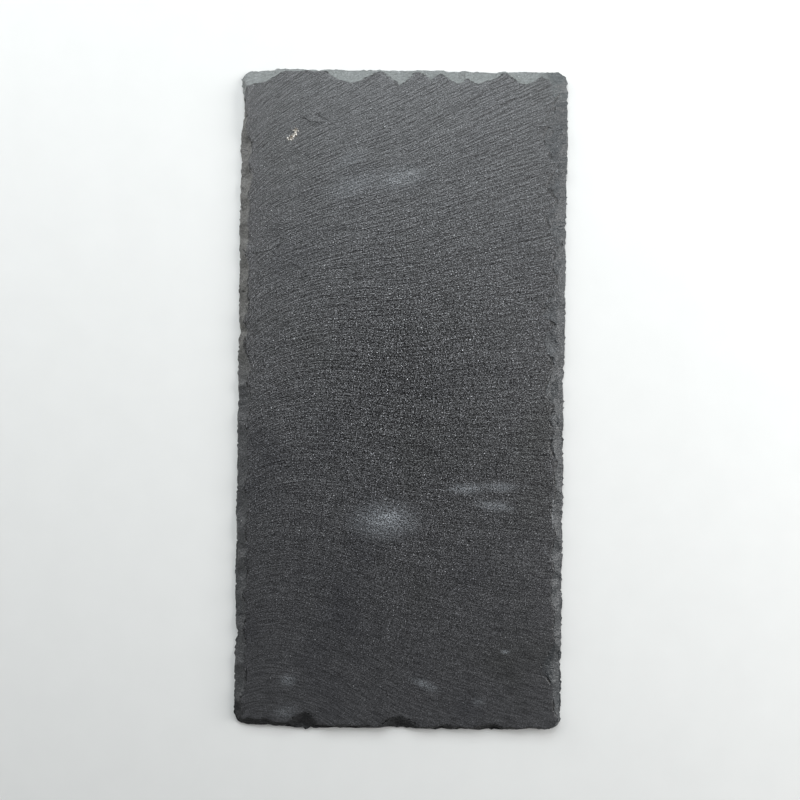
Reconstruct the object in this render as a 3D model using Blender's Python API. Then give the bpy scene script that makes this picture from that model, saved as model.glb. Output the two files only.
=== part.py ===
"""A slate slab: one piece of riven slate, dressed by hand to a rectangle.

The upper face is a cleavage plane with low ripples that fan out across the slab.
Every side was trimmed by striking off flakes, so the face ends in scalloped, sloping
flake scars and the outline is ragged. The underside is a flat cleavage plane.

Metres. X runs across the slab, Y along it and Z up. The origin is on the underside,
at the middle of the outline.
"""

import math
from collections import namedtuple

import bmesh
import bpy
import numpy as np

MM = 0.001

# Driving dimensions.
LENGTH = 300 * MM
WIDTH = 148.8 * MM
THICKNESS = 5.0 * MM

# Corner radii, by the signs of X and Y at that corner.
CORNER_RADII = {
    (-1, 1): 7.0 * MM,
    (1, 1): 5.0 * MM,
    (-1, -1): 7.0 * MM,
    (1, -1): 5.5 * MM,
}

# Every side slopes out from the face to the underside: its reach where no flake was
# struck off, and its drop (mm). What stands below it is the rim's own broken edge.
BEVEL_REACH = {"far": 2.4, "near": 2.7, "left": 2.4, "right": 2.2}
CORNER_BEVEL = 3.2
BEVEL_DROP = 4.2
RIM_HEIGHT = 1.3 * MM
RIM_VARIES = 0.5 * MM
RIM_WAVE = 9 * MM

# Flakes struck off each side: centre along the side, half-length at the outline,
# reach into the face, drop at the outline (mm), and the scar's turn (degrees).
Flake = namedtuple("Flake", "along half_length reach drop turn")
FLAKES = {
    "far": [
        Flake(-67, 44, 8.6, 4.0, -20),
        Flake(-24.8, 17, 7.5, 4.1, 0),
        Flake(-2.3, 10.2, 8.4, 4.2, 3),
        Flake(11.3, 7.6, 5.2, 4.0, 0),
        Flake(23, 9.5, 7.5, 4.1, -4),
        Flake(34, 13.5, 8.0, 4.2, 4),
        Flake(54.6, 13, 7.6, 4.1, -3),
        Flake(68, 13, 8.2, 4.2, 10),
    ],
    "near": [
        Flake(-72, 17, 5.8, 4.0, 16),
        Flake(-42.4, 11, 8.8, 4.1, -6),
        Flake(-24, 18, 3.4, 4.1, 0),
        Flake(0.5, 14, 7.3, 4.1, 3),
        Flake(21, 15, 3.9, 4.2, 0),
        Flake(42, 15, 4.5, 4.1, -4),
        Flake(61, 13, 3.6, 4.1, 0),
    ],
    "left": [
        Flake(127, 13, 3.8, 3.8, 0),
        Flake(113, 26, 5.3, 4.1, -3),
        Flake(97, 22, 6.2, 3.7, 4),
        Flake(85, 18, 5.7, 4.1, -3),
        Flake(72, 20, 5.7, 3.8, 5),
        Flake(58, 21, 4.9, 4.1, -3),
        Flake(43, 18, 5.8, 3.9, 0),
        Flake(30, 15, 4.8, 4.2, -5),
        Flake(13, 19, 6.7, 4.0, 3),
        Flake(-3, 22, 6.6, 3.5, 0),
        Flake(-19, 20, 5.9, 3.9, -4),
        Flake(-34, 21, 6.1, 3.6, 3),
        Flake(-49, 24, 6.3, 4.0, 0),
        Flake(-66, 22, 6.0, 3.5, 4),
        Flake(-80, 20, 6.2, 4.0, -4),
        Flake(-96, 23, 6.0, 3.7, 0),
        Flake(-112, 21, 6.3, 4.1, 3),
        Flake(-127, 20, 5.8, 3.7, -3),
        Flake(-142, 14, 4.9, 4.0, 6),
    ],
    "right": [
        Flake(141, 16, 6.4, 4.0, -16),
        Flake(127, 18, 5.0, 3.8, 3),
        Flake(112, 17, 5.7, 4.0, -3),
        Flake(97, 19, 5.0, 3.6, 4),
        Flake(82, 18, 5.9, 4.1, 0),
        Flake(68, 15, 4.4, 4.1, -6),
        Flake(54, 18, 5.4, 3.7, 3),
        Flake(40, 15, 6.1, 4.0, 0),
        Flake(27, 16, 4.9, 3.6, -4),
        Flake(13, 17, 6.0, 4.1, 5),
        Flake(-2, 18, 5.2, 3.8, 0),
        Flake(-18, 20, 5.8, 4.0, -4),
        Flake(-34, 20, 5.3, 3.6, 3),
        Flake(-51, 22, 6.2, 3.9, 0),
        Flake(-69, 21, 5.6, 3.7, -3),
        Flake(-86, 20, 6.0, 4.0, 3),
        Flake(-102, 19, 5.0, 3.8, 0),
        Flake(-118, 19, 6.1, 3.8, -4),
        Flake(-134, 18, 5.2, 4.0, 5),
        Flake(140, 13, 10.0, 1.6, -30),
        Flake(118, 22, 12.4, 2.0, 0),
        Flake(98, 15, 9.8, 1.7, 6),
        Flake(81, 17, 10.4, 1.5, -3),
        Flake(61, 18, 8.0, 1.5, 4),
        Flake(42, 13, 12.6, 2.1, 12),
        Flake(26, 17, 11.2, 1.6, -5),
        Flake(6, 16, 10.0, 1.9, 6),
        Flake(-8, 14, 8.6, 1.3, 0),
        Flake(-20, 16, 8.0, 1.5, -5),
        Flake(-119, 18, 9.4, 1.5, 0),
    ],
}
SCALLOP_POWER = 1.25  # 1 is a pointed scallop, 2 a round one
SCAR_POWER = 0.85  # under 1 the scar is steepest where it leaves the face
SCAR_WANDER = 0.7 * MM  # how far the scars' outlines stray from their plain curves
WANDER_WAVE = 5 * MM
DEEPEST_FALL = 1.3  # a scar goes on past the outline to this many times its drop

# Nicks in the outline: centre along the side, half-length and depth (mm).
# A negative depth is a spur that stands out.
Nick = namedtuple("Nick", "along half_length depth")
NICKS = {
    "far": [Nick(-64, 9, 0.9), Nick(-10, 6, 0.3), Nick(36, 14, 0.4)],
    "near": [
        Nick(-63, 12, 1.3),
        Nick(-41.5, 1.4, -0.8),
        Nick(0, 12, 0.4),
        Nick(37, 3.5, -0.5),
        Nick(64, 9, 0.9),
    ],
    "left": [Nick(132, 11, 1.6), Nick(107, 3, 0.6), Nick(31, 4, 0.9), Nick(-107, 2.8, 1.4)],
    "right": [Nick(121, 14, -0.2), Nick(-10, 30, 0.4), Nick(-40.5, 2.4, 0.6)],
}
NICK_FADE = 4 * MM  # how far into the slab a nick still moves the surface

# Fine raggedness of the outline: how far it moves, and over what length.
RAGGED = ((0.28 * MM, 2.6 * MM), (0.22 * MM, 7 * MM))
UNDERCUT = 0.3 * MM  # how far the underside stands in from the outline, on average
UNDERCUT_WAVE = 3 * MM

# The cleavage layers that break as ledges down a scar.
LEDGE_HEIGHT = 0.95 * MM
LEDGE_SHARPNESS = 0.85  # 0 leaves a smooth slope, 1 makes flat treads
LEDGE_STRAYS = 0.4 * MM
LEDGE_WAVE = 4 * MM

# Relief of the riven face. A ripple's crest follows a line whose slope grows with
# the distance from FAN_LINE, and fans out towards -X.
FAN_LINE = -5 * MM
FAN_RATE = 3.0
FAN_SPREAD = -26.0
RIPPLE_LENGTH = 26 * MM
RIPPLE_SPACING = 6.5 * MM
RIPPLE_HEIGHT = 0.34 * MM
RIPPLE_STRAYS = 0.6  # in spacings
STRAY_WAVE = (19 * MM, 31 * MM)
RELIEF_FADE = 1.5 * MM  # the depth of scar at which the face's own relief is gone
SWELL_SPACING = 55 * MM
SWELL_HEIGHT = 0.5 * MM

# The pocket that a small vein of crystals left in the upper face.
POCKET_PLACE = (-50.5 * MM, 119.5 * MM)
POCKET_HALF_LENGTH = 3.4 * MM
POCKET_HALF_WIDTH = 1.7 * MM
POCKET_TURN = 58
POCKET_DEPTH = 0.6 * MM

# The working grid, and the share of its faces that the finished face keeps.
ROWS_ACROSS = 124
ROWS_ALONG = 248
EDGE_CROWDING = 0.45  # 0 spaces the rows evenly, 1 gathers them all at the edges
KEPT_FACES = 0.125


def smooth_noise(u, v, seed, size=64):
    """Values from -1 to 1 that change smoothly with u and v, one lattice cell per unit.

    Each lattice corner holds a seeded number, and a point blends its cell's four.
    """
    lattice = np.random.default_rng(seed).uniform(-1, 1, (size, size))
    column, row = np.floor(u).astype(int), np.floor(v).astype(int)
    across, up = u - column, v - row
    across = across * across * (3 - 2 * across)
    up = up * up * (3 - 2 * up)
    near = lattice[row % size, column % size] * (1 - across)
    near += lattice[row % size, (column + 1) % size] * across
    far = lattice[(row + 1) % size, column % size] * (1 - across)
    far += lattice[(row + 1) % size, (column + 1) % size] * across
    return near * (1 - up) + far * up


def side_frames():
    """Each side's middle point, its direction along, and its direction into the slab."""
    return {
        "far": ((0, LENGTH / 2), (1, 0), (0, -1)),
        "near": ((0, -LENGTH / 2), (1, 0), (0, 1)),
        "left": ((-WIDTH / 2, 0), (0, 1), (1, 0)),
        "right": ((WIDTH / 2, 0), (0, 1), (-1, 0)),
    }


def crowded(share):
    """Moves a share from -1 to 1 towards the ends, so rows gather at the edges."""
    return share * (1 - EDGE_CROWDING) + EDGE_CROWDING * np.sin(share * math.pi / 2)


def corner_place(x, y, corner):
    """How far past a corner's centre each point is, in radii, or 0 outside the corner."""
    radius = CORNER_RADII[corner]
    a = (x * corner[0] - (WIDTH / 2 - radius)) / radius
    b = (y * corner[1] - (LENGTH / 2 - radius)) / radius
    inside = (a > 0) & (b > 0)
    return np.where(inside, a, 0), np.where(inside, b, 0)


def round_corners(x, y):
    """Turns each square corner of the grid into a quarter disc.

    Within a corner, (a, b) from its centre goes to (a sqrt(1 - b2/2), b sqrt(1 - a2/2)).
    """
    for corner, radius in CORNER_RADII.items():
        a, b = corner_place(x, y, corner)
        x = x + corner[0] * radius * a * (np.sqrt(1 - b * b / 2) - 1)
        y = y + corner[1] * radius * b * (np.sqrt(1 - a * a / 2) - 1)
    return x, y


def edge_offset(along, side, seed):
    """How far the outline stands in from its straight side at each place along it."""
    offset = np.zeros_like(along)
    for row, (height, wave) in enumerate(RAGGED):
        offset += height * smooth_noise(along / wave, np.full_like(along, row), seed)
    for nick in NICKS[side]:
        reach = np.clip(1 - ((along / MM - nick.along) / nick.half_length) ** 2, 0, 1)
        offset += nick.depth * MM * reach
    return offset


def ragged_outline(x, y):
    """Moves the points near each side in or out, less and less towards the middle."""
    for seed, (side, (middle, along, inward)) in enumerate(side_frames().items(), 11):
        s = x * along[0] + y * along[1]
        t = (x - middle[0]) * inward[0] + (y - middle[1]) * inward[1]
        move = edge_offset(s, side, seed) * np.exp(-((t / NICK_FADE) ** 2))
        x, y = x + move * inward[0], y + move * inward[1]
    return x, y


def ripple_lines(x, y):
    """Two coordinates that follow the ripples: along a crest, and from crest to crest.

    A crest's slope is (y - line)(rate + spread x), so the second coordinate, which is
    (y - line) / exp(rate x + spread x2/2), is where the crest meets the line x = 0.
    """
    return x, (y - FAN_LINE) * np.exp(-FAN_RATE * x - FAN_SPREAD * x * x / 2)


def riven_relief(x, y):
    """The height of the cleavage face above its mean plane."""
    crest, step = ripple_lines(x, y)
    relief = SWELL_HEIGHT / 2 * smooth_noise(x / SWELL_SPACING, y / SWELL_SPACING, 1)
    stray = RIPPLE_STRAYS * smooth_noise(crest / STRAY_WAVE[0], step / STRAY_WAVE[1], 2)
    ripple = smooth_noise(crest / RIPPLE_LENGTH, step / RIPPLE_SPACING + stray, 3)
    relief += RIPPLE_HEIGHT / 2 * ripple
    x, y = x - POCKET_PLACE[0], y - POCKET_PLACE[1]
    cos, sin = math.cos(math.radians(POCKET_TURN)), math.sin(math.radians(POCKET_TURN))
    out = ((x * cos + y * sin) / POCKET_HALF_LENGTH) ** 2
    out += ((y * cos - x * sin) / POCKET_HALF_WIDTH) ** 2
    return relief - POCKET_DEPTH * np.clip(1 - out, 0, 1)


def flake_depth(s, t, flake):
    """How far one flake cuts below the face, s along its side and t into the slab.

    The scar's upper edge is the scallop t = reach (1 - |s / half_length| ^ power), and
    from there it drops outwards to its full depth at the outline.
    """
    cos, sin = math.cos(math.radians(flake.turn)), math.sin(math.radians(flake.turn))
    s = s - flake.along * MM
    s, t = s * cos + t * sin, t * cos - s * sin
    reach = flake.reach * MM
    scallop = reach * (1 - np.abs(s / (flake.half_length * MM)) ** SCALLOP_POWER)
    fall = np.clip((scallop - t) / reach, 0, DEEPEST_FALL)
    return flake.drop * MM * fall**SCAR_POWER


def scar_depth(x, y):
    """The deepest cut at each point, broken into ledges where it meets the layers."""
    x = x + SCAR_WANDER * smooth_noise(x / WANDER_WAVE, y / WANDER_WAVE, 6)
    y = y + SCAR_WANDER * smooth_noise(x / WANDER_WAVE, y / WANDER_WAVE, 7)
    depth = np.zeros_like(x)
    for side, (middle, along, inward) in side_frames().items():
        s = x * along[0] + y * along[1]
        t = (x - middle[0]) * inward[0] + (y - middle[1]) * inward[1]
        bevel = BEVEL_REACH[side] * MM
        depth = np.maximum(depth, BEVEL_DROP * MM * np.clip(1 - t / bevel, 0, 1))
        for flake in FLAKES[side]:
            depth = np.maximum(depth, flake_depth(s, t, flake))
    for corner, radius in CORNER_RADII.items():
        t = radius * (1 - np.hypot(*corner_place(x, y, corner)))
        fall = np.clip(1 - t / (CORNER_BEVEL * MM), 0, DEEPEST_FALL)
        depth = np.maximum(depth, BEVEL_DROP * MM * fall)
    cut = np.clip(depth / LEDGE_HEIGHT, 0, 1)
    depth = depth + LEDGE_STRAYS * cut * smooth_noise(x / LEDGE_WAVE, y / LEDGE_WAVE, 5)
    wave = 2 * math.pi * depth / LEDGE_HEIGHT
    depth = depth - cut * LEDGE_SHARPNESS * LEDGE_HEIGHT / (2 * math.pi) * np.sin(wave)
    rim = RIM_HEIGHT + RIM_VARIES * smooth_noise(x / RIM_WAVE, y / RIM_WAVE, 8)
    return np.clip(depth, 0, THICKNESS - rim)


def face_height(x, y):
    """The upper surface: the riven face, cut down by the flake scars at the sides."""
    depth = scar_depth(x, y)
    kept = np.clip(1 - depth / RELIEF_FADE, 0, 1)
    return THICKNESS - depth + riven_relief(x, y) * kept


def riven_face():
    """The upper surface as an open sheet: a grid shaped by the formulas, then thinned."""
    bpy.ops.mesh.primitive_grid_add(
        x_subdivisions=ROWS_ACROSS, y_subdivisions=ROWS_ALONG, size=2
    )
    sheet = bpy.context.object
    places = np.empty(len(sheet.data.vertices) * 3)
    sheet.data.vertices.foreach_get("co", places)
    places = places.reshape(-1, 3)
    x, y = round_corners(
        crowded(places[:, 0]) * WIDTH / 2, crowded(places[:, 1]) * LENGTH / 2
    )
    x, y = ragged_outline(x, y)
    places = np.column_stack([x, y, face_height(x, y)])
    sheet.data.vertices.foreach_set("co", places.ravel())
    sheet.data.update()
    thin = sheet.modifiers.new("Thin", "DECIMATE")
    thin.ratio = KEPT_FACES
    thin.use_collapse_triangulate = True
    graph = bpy.context.evaluated_depsgraph_get()
    mesh = bpy.data.meshes.new_from_object(sheet.evaluated_get(graph))
    bpy.data.objects.remove(sheet)
    return mesh


def close_slab(mesh):
    """Drops a broken edge from the face's rim to the flat underside, and fills that."""
    shape = bmesh.new()
    shape.from_mesh(mesh)
    rim = [edge for edge in shape.edges if edge.is_boundary]
    made = bmesh.ops.extrude_edge_only(shape, edges=rim)["geom"]
    for corner in [item for item in made if isinstance(item, bmesh.types.BMVert)]:
        place = corner.co / UNDERCUT_WAVE
        inset = UNDERCUT * (1 + smooth_noise(place.x, place.y, 21))
        corner.co.x *= 1 - inset / (WIDTH / 2)
        corner.co.y *= 1 - inset / (LENGTH / 2)
        corner.co.z = 0
    rim = [item for item in made if isinstance(item, bmesh.types.BMEdge)]
    bmesh.ops.contextual_create(shape, geom=rim)
    bmesh.ops.recalc_face_normals(shape, faces=shape.faces)
    shape.to_mesh(mesh)
    shape.free()


def slate_material():
    """Dark grey slate with a dull, finely rough face."""
    material = bpy.data.materials.new("slate")
    material.use_nodes = True
    shader = material.node_tree.nodes["Principled BSDF"]
    shader.inputs["Base Color"].default_value = (0.045, 0.047, 0.051, 1)
    shader.inputs["Roughness"].default_value = 0.6
    shader.inputs["Metallic"].default_value = 0
    return material


def main():
    for leftover in list(bpy.data.objects):
        bpy.data.objects.remove(leftover)
    mesh = riven_face()
    close_slab(mesh)
    mesh.name = "slate_slab"
    mesh.materials.clear()
    mesh.materials.append(slate_material())
    slab = bpy.data.objects.new("slate_slab", mesh)
    stone = bpy.data.collections.new("Slate slab")
    bpy.context.scene.collection.children.link(stone)
    stone.objects.link(slab)


main()
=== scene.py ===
# %% [markdown]
# # A slab of riven slate
# Slate is clay that was squeezed until its grains lay flat, so it splits into sheets.
# This slab was split by hand, which left one rippled face, and then trimmed to a
# rectangle by striking flakes off its edges. The lesson works the whole surface out
# with numpy: a sheet of points is laid over the rectangle, its outline is made ragged,
# and every point is given a height. Sculpting could do it too, but formulas give the
# same stone at every run, and each feature stays a named number in millimetres.

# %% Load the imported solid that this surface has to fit
import math
from collections import namedtuple

import bmesh
import bpy
import numpy as np
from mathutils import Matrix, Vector


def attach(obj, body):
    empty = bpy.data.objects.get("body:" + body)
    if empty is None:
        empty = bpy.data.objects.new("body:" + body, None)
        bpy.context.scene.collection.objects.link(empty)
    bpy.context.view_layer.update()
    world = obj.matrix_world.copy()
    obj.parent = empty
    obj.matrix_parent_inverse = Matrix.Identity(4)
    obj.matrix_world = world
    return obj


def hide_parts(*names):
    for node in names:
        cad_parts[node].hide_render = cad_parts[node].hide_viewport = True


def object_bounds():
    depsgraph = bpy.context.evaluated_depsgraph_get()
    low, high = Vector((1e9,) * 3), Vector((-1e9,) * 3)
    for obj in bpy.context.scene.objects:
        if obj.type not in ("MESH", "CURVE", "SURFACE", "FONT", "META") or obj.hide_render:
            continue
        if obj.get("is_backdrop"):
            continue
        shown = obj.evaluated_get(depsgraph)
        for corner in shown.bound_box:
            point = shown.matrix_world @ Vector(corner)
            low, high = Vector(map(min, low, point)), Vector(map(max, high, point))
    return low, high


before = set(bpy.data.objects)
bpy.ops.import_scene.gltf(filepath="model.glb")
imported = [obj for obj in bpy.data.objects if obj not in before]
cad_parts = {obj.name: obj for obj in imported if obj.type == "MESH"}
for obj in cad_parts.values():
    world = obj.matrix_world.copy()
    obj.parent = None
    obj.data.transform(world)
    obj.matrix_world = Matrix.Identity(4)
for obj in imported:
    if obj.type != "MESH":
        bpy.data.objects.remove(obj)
cad_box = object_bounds()
print("packed solid, mm:", [[round(v * 1000, 1) for v in corner] for corner in cad_box])

# %% [markdown]
# ## Sizes
# The slab is 300 mm long and about 5 mm thick. Blender counts in metres, so lengths are
# written in millimetres and turned by MM, at once or where a row of a table is used.
# The four corners are worn round.

# %% The slab's own sizes
MM = 0.001
LENGTH = 300 * MM
WIDTH = 148.8 * MM
THICKNESS = 5.0 * MM
CORNER_RADII = {
    (-1, 1): 7.0 * MM,
    (1, 1): 5.0 * MM,
    (-1, -1): 7.0 * MM,
    (1, -1): 5.5 * MM,
}
print(f"length to width: {LENGTH / WIDTH:.2f}")

# %% [markdown]
# ## A source of unevenness
# Nothing in stone repeats, so every shape below is disturbed by smooth noise: a square
# lattice of seeded random numbers, blended from corner to corner. Python could ask
# Blender for noise one point at a time, but this blends whole arrays at once, which
# takes a fraction of a second for the seventy thousand points of the finished sheet.


# %% Smooth noise over whole arrays
def smooth_noise(u, v, seed, size=64):
    """Values from -1 to 1 that change smoothly, one lattice cell per unit of u and v.

    With f = 3t2 - 2t3 for the way across a cell, each point blends the numbers at its
    cell's four corners by f across and f up.
    """
    lattice = np.random.default_rng(seed).uniform(-1, 1, (size, size))
    column, row = np.floor(u).astype(int), np.floor(v).astype(int)
    across, up = u - column, v - row
    across = across * across * (3 - 2 * across)
    up = up * up * (3 - 2 * up)
    near = lattice[row % size, column % size] * (1 - across)
    near += lattice[row % size, (column + 1) % size] * across
    far = lattice[(row + 1) % size, column % size] * (1 - across)
    far += lattice[(row + 1) % size, (column + 1) % size] * across
    return near * (1 - up) + far * up


sample = smooth_noise(np.linspace(0, 40, 4000), np.linspace(0, 9, 4000), 1)
print(f"noise runs from {sample.min():.2f} to {sample.max():.2f}")

# %% [markdown]
# ## The four sides
# The work along an edge is described from that edge: s runs along it and t runs from
# it into the stone. With one small table of frames, the same code serves all sides.

# %% Frames of the four sides, and the place inside a rounded corner
SIDES = {
    "far": ((0, LENGTH / 2), (1, 0), (0, -1)),
    "near": ((0, -LENGTH / 2), (1, 0), (0, 1)),
    "left": ((-WIDTH / 2, 0), (0, 1), (1, 0)),
    "right": ((WIDTH / 2, 0), (0, 1), (-1, 0)),
}


def side_place(x, y, side):
    """s, the distance along a side, and t, the distance from it into the slab."""
    middle, along, inward = SIDES[side]
    s = x * along[0] + y * along[1]
    t = (x - middle[0]) * inward[0] + (y - middle[1]) * inward[1]
    return s, t


def corner_place(x, y, corner):
    """How far past a corner's centre each point is, in radii, or 0 outside the corner."""
    radius = CORNER_RADII[corner]
    a = (x * corner[0] - (WIDTH / 2 - radius)) / radius
    b = (y * corner[1] - (LENGTH / 2 - radius)) / radius
    inside = (a > 0) & (b > 0)
    return np.where(inside, a, 0), np.where(inside, b, 0)


print("sides:", ", ".join(SIDES))

# %% [markdown]
# ## The outline
# A grid has square corners. The elliptical mapping bends each corner square of it into
# a quarter disc, so the rows still end exactly on the rounded outline and no face is
# cut. Then the outline is pushed in and out: long nicks where a blow went deep, spurs
# that stayed, and a fine raggedness from the broken layers. The push dies out within
# a few millimetres, so the face itself keeps even rows.

# %% Rows that crowd towards the edges, and rounded corners
CROWDING_ACROSS = 0.5  # 0 spaces the columns evenly, 1 gathers them all at the edges
CROWDING_ALONG = 0.2


def crowded(share, crowding):
    """share (1 - c) + c sin(share pi / 2): rows gather at the edges, where they matter."""
    return share * (1 - crowding) + crowding * np.sin(share * math.pi / 2)


def round_corners(x, y):
    """(a, b) from a corner's centre goes to (a sqrt(1 - b2/2), b sqrt(1 - a2/2))."""
    for corner, radius in CORNER_RADII.items():
        a, b = corner_place(x, y, corner)
        x = x + corner[0] * radius * a * (np.sqrt(1 - b * b / 2) - 1)
        y = y + corner[1] * radius * b * (np.sqrt(1 - a * a / 2) - 1)
    return x, y


print(f"a column at the edge is {1 - CROWDING_ACROSS:.0%} as wide as an even one")

# %% Nicks, spurs and raggedness
Nick = namedtuple("Nick", "along half_length depth")
NICKS = {
    "far": [Nick(-64, 9, 0.9), Nick(-10, 6, 0.3), Nick(36, 14, 0.4)],
    "near": [
        Nick(-63, 12, 1.3),
        Nick(-41.5, 1.4, -0.8),
        Nick(0, 12, 0.4),
        Nick(37, 3.5, -0.5),
        Nick(64, 9, 0.9),
    ],
    "left": [Nick(132, 11, 1.6), Nick(107, 3, 0.6), Nick(31, 4, 0.9), Nick(-107, 2.8, 1.4)],
    "right": [Nick(121, 14, -0.2), Nick(-10, 30, 0.4), Nick(-40.5, 2.4, 0.6)],
}
NICK_FADE = 4 * MM
RAGGED = ((0.17 * MM, 2.6 * MM), (0.22 * MM, 7 * MM))
SPLINTERS = (0.75 * MM, 1.0 * MM)


def edge_offset(along, side, seed):
    """How far the outline stands in: noise, noise cubed for rare splinters, and nicks.

    A nick is depth (1 - (s / half_length)2).
    """
    offset = SPLINTERS[0] * smooth_noise(along / SPLINTERS[1], along * 0, seed + 20) ** 3
    for row, (height, wave) in enumerate(RAGGED):
        offset += height * smooth_noise(along / wave, np.full_like(along, row), seed)
    for nick in NICKS[side]:
        reach = np.clip(1 - ((along / MM - nick.along) / nick.half_length) ** 2, 0, 1)
        offset += nick.depth * MM * reach
    return offset


def ragged_outline(x, y):
    """Moves each point by its side's offset times exp(-(t / fade)2)."""
    for seed, side in enumerate(SIDES, 11):
        s, t = side_place(x, y, side)
        move = edge_offset(s, side, seed) * np.exp(-((t / NICK_FADE) ** 2))
        x, y = x + move * SIDES[side][2][0], y + move * SIDES[side][2][1]
    return x, y


print("nicks and spurs:", sum(len(nicks) for nicks in NICKS.values()))

# %% [markdown]
# ## The flakes
# Each blow of the dresser's hammer took off one flake and left a scar: deep at the
# outline, running out to nothing along a scalloped line on the face. A scar here is a
# centre along the side, a half-length, a reach into the face and a drop at the
# outline. Cutting them with Booleans would also work, but the union of many shallow
# cuts is simply the deepest of them, which is one maximum per flake.

# %% Every scar, in millimetres, with its turn in degrees
Flake = namedtuple("Flake", "along half_length reach drop turn")
FLAKES = {
    "far": [
        Flake(-67, 44, 8.6, 4.0, -20),
        Flake(-24.8, 17, 7.5, 4.1, 0),
        Flake(-2.3, 10.2, 8.4, 4.2, 3),
        Flake(11.3, 7.6, 5.2, 4.0, 0),
        Flake(23, 9.5, 7.5, 4.1, -4),
        Flake(34, 13.5, 8.0, 4.2, 4),
        Flake(54.6, 13, 7.6, 4.1, -3),
        Flake(68, 13, 8.2, 4.2, 10),
    ],
    "near": [
        Flake(-72, 17, 5.8, 4.0, 16),
        Flake(-42.4, 11, 8.8, 4.1, -6),
        Flake(-24, 18, 3.4, 4.1, 0),
        Flake(0.5, 14, 7.3, 4.1, 3),
        Flake(21, 15, 3.9, 4.2, 0),
        Flake(42, 15, 4.5, 4.1, -4),
        Flake(61, 13, 3.6, 4.1, 0),
    ],
    "left": [
        Flake(127, 13, 3.8, 3.8, 0),
        Flake(113, 26, 5.3, 4.1, -3),
        Flake(97, 22, 6.2, 3.7, 4),
        Flake(85, 18, 5.7, 4.1, -3),
        Flake(72, 20, 5.7, 3.8, 5),
        Flake(58, 21, 4.9, 4.1, -3),
        Flake(43, 18, 5.8, 3.9, 0),
        Flake(30, 15, 4.8, 4.2, -5),
        Flake(13, 19, 6.7, 4.0, 3),
        Flake(-3, 22, 6.6, 3.5, 0),
        Flake(-19, 20, 5.9, 3.9, -4),
        Flake(-34, 21, 6.1, 3.6, 3),
        Flake(-49, 24, 6.3, 4.0, 0),
        Flake(-66, 22, 6.0, 3.5, 4),
        Flake(-80, 20, 6.2, 4.0, -4),
        Flake(-96, 23, 6.0, 3.7, 0),
        Flake(-112, 21, 6.3, 4.1, 3),
        Flake(-127, 20, 5.8, 3.7, -3),
        Flake(-142, 14, 4.9, 4.0, 6),
    ],
    "right": [
        Flake(141, 16, 6.4, 4.0, -16),
        Flake(127, 18, 5.0, 3.8, 3),
        Flake(112, 17, 5.7, 4.0, -3),
        Flake(97, 19, 5.0, 3.6, 4),
        Flake(82, 18, 5.9, 4.1, 0),
        Flake(68, 15, 4.4, 4.1, -6),
        Flake(54, 18, 5.4, 3.7, 3),
        Flake(40, 15, 6.1, 4.0, 0),
        Flake(27, 16, 4.9, 3.6, -4),
        Flake(13, 17, 6.0, 4.1, 5),
        Flake(-2, 18, 5.2, 3.8, 0),
        Flake(-18, 20, 5.8, 4.0, -4),
        Flake(-34, 20, 5.3, 3.6, 3),
        Flake(-51, 22, 6.2, 3.9, 0),
        Flake(-69, 21, 5.6, 3.7, -3),
        Flake(-86, 20, 6.0, 4.0, 3),
        Flake(-102, 19, 5.0, 3.8, 0),
        Flake(-118, 19, 6.1, 3.8, -4),
        Flake(-134, 18, 5.2, 4.0, 5),
        Flake(140, 13, 10.0, 1.6, -30),
        Flake(118, 22, 12.4, 2.0, 0),
        Flake(98, 15, 9.8, 1.7, 6),
        Flake(81, 17, 10.4, 1.5, -3),
        Flake(61, 18, 8.0, 1.5, 4),
        Flake(42, 13, 12.6, 2.1, 12),
        Flake(26, 17, 11.2, 1.6, -5),
        Flake(6, 16, 10.0, 1.9, 6),
        Flake(-8, 14, 8.6, 1.3, 0),
        Flake(-20, 16, 8.0, 1.5, -5),
        Flake(-119, 18, 9.4, 1.5, 0),
    ],
}
SCALLOP_POWER = 1.25  # 1 is a pointed scallop, 2 a round one
SCAR_POWER = 0.85  # under 1 the scar is steepest where it leaves the face
DEEPEST_FALL = 1.3  # a scar goes on falling a little past the line of its side
print("flakes:", {side: len(flakes) for side, flakes in FLAKES.items()})


# %% One scar
def flake_depth(s, t, flake):
    """drop ((edge - t) / reach)^p, where edge = reach (1 - |s / half_length|^q).

    Here p is the power of the scar and q that of the scallop.
    """
    cos, sin = math.cos(math.radians(flake.turn)), math.sin(math.radians(flake.turn))
    s = s - flake.along * MM
    s, t = s * cos + t * sin, t * cos - s * sin
    reach = flake.reach * MM
    scallop = reach * (1 - np.abs(s / (flake.half_length * MM)) ** SCALLOP_POWER)
    fall = np.clip((scallop - t) / reach, 0, DEEPEST_FALL)
    return flake.drop * MM * fall**SCAR_POWER


longest = max((flake.reach, side) for side, flakes in FLAKES.items() for flake in flakes)
print("the scar that reaches furthest in, mm:", longest)

# %% [markdown]
# ## Ledges
# A scar in slate isn't smooth. The break jumps from one layer to the next, so the
# slope falls in steps whose treads lie flat. Subtracting a sine of the depth from the
# depth makes such steps: where the sine falls, the slope is steep, and where it rises,
# the slope is flat. Two sets of steps, one coarse and one fine, look like real layers.

# %% The depth of all scars together
BEVEL_REACH = {"far": 2.4, "near": 2.7, "left": 2.4, "right": 2.2}
CORNER_BEVEL = 3.2
BEVEL_DROP = 4.2
RIM_HEIGHT = 1.3 * MM  # what the scars leave standing at the outline
RIM_VARIES = 0.5 * MM
RIM_WAVE = 9 * MM
SCAR_WANDER = ((0.7 * MM, 5 * MM), (0.25 * MM, 1.6 * MM))
LEDGES = ((0.95 * MM, 0.85), (0.27 * MM, 0.7))  # height of a step, and how sharp it is
LEDGE_STRAYS = 0.4 * MM
LEDGE_WAVE = 4 * MM
CHIP_ROUGH = ((0.10 * MM, 1.9 * MM), (0.06 * MM, 0.9 * MM))


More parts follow.
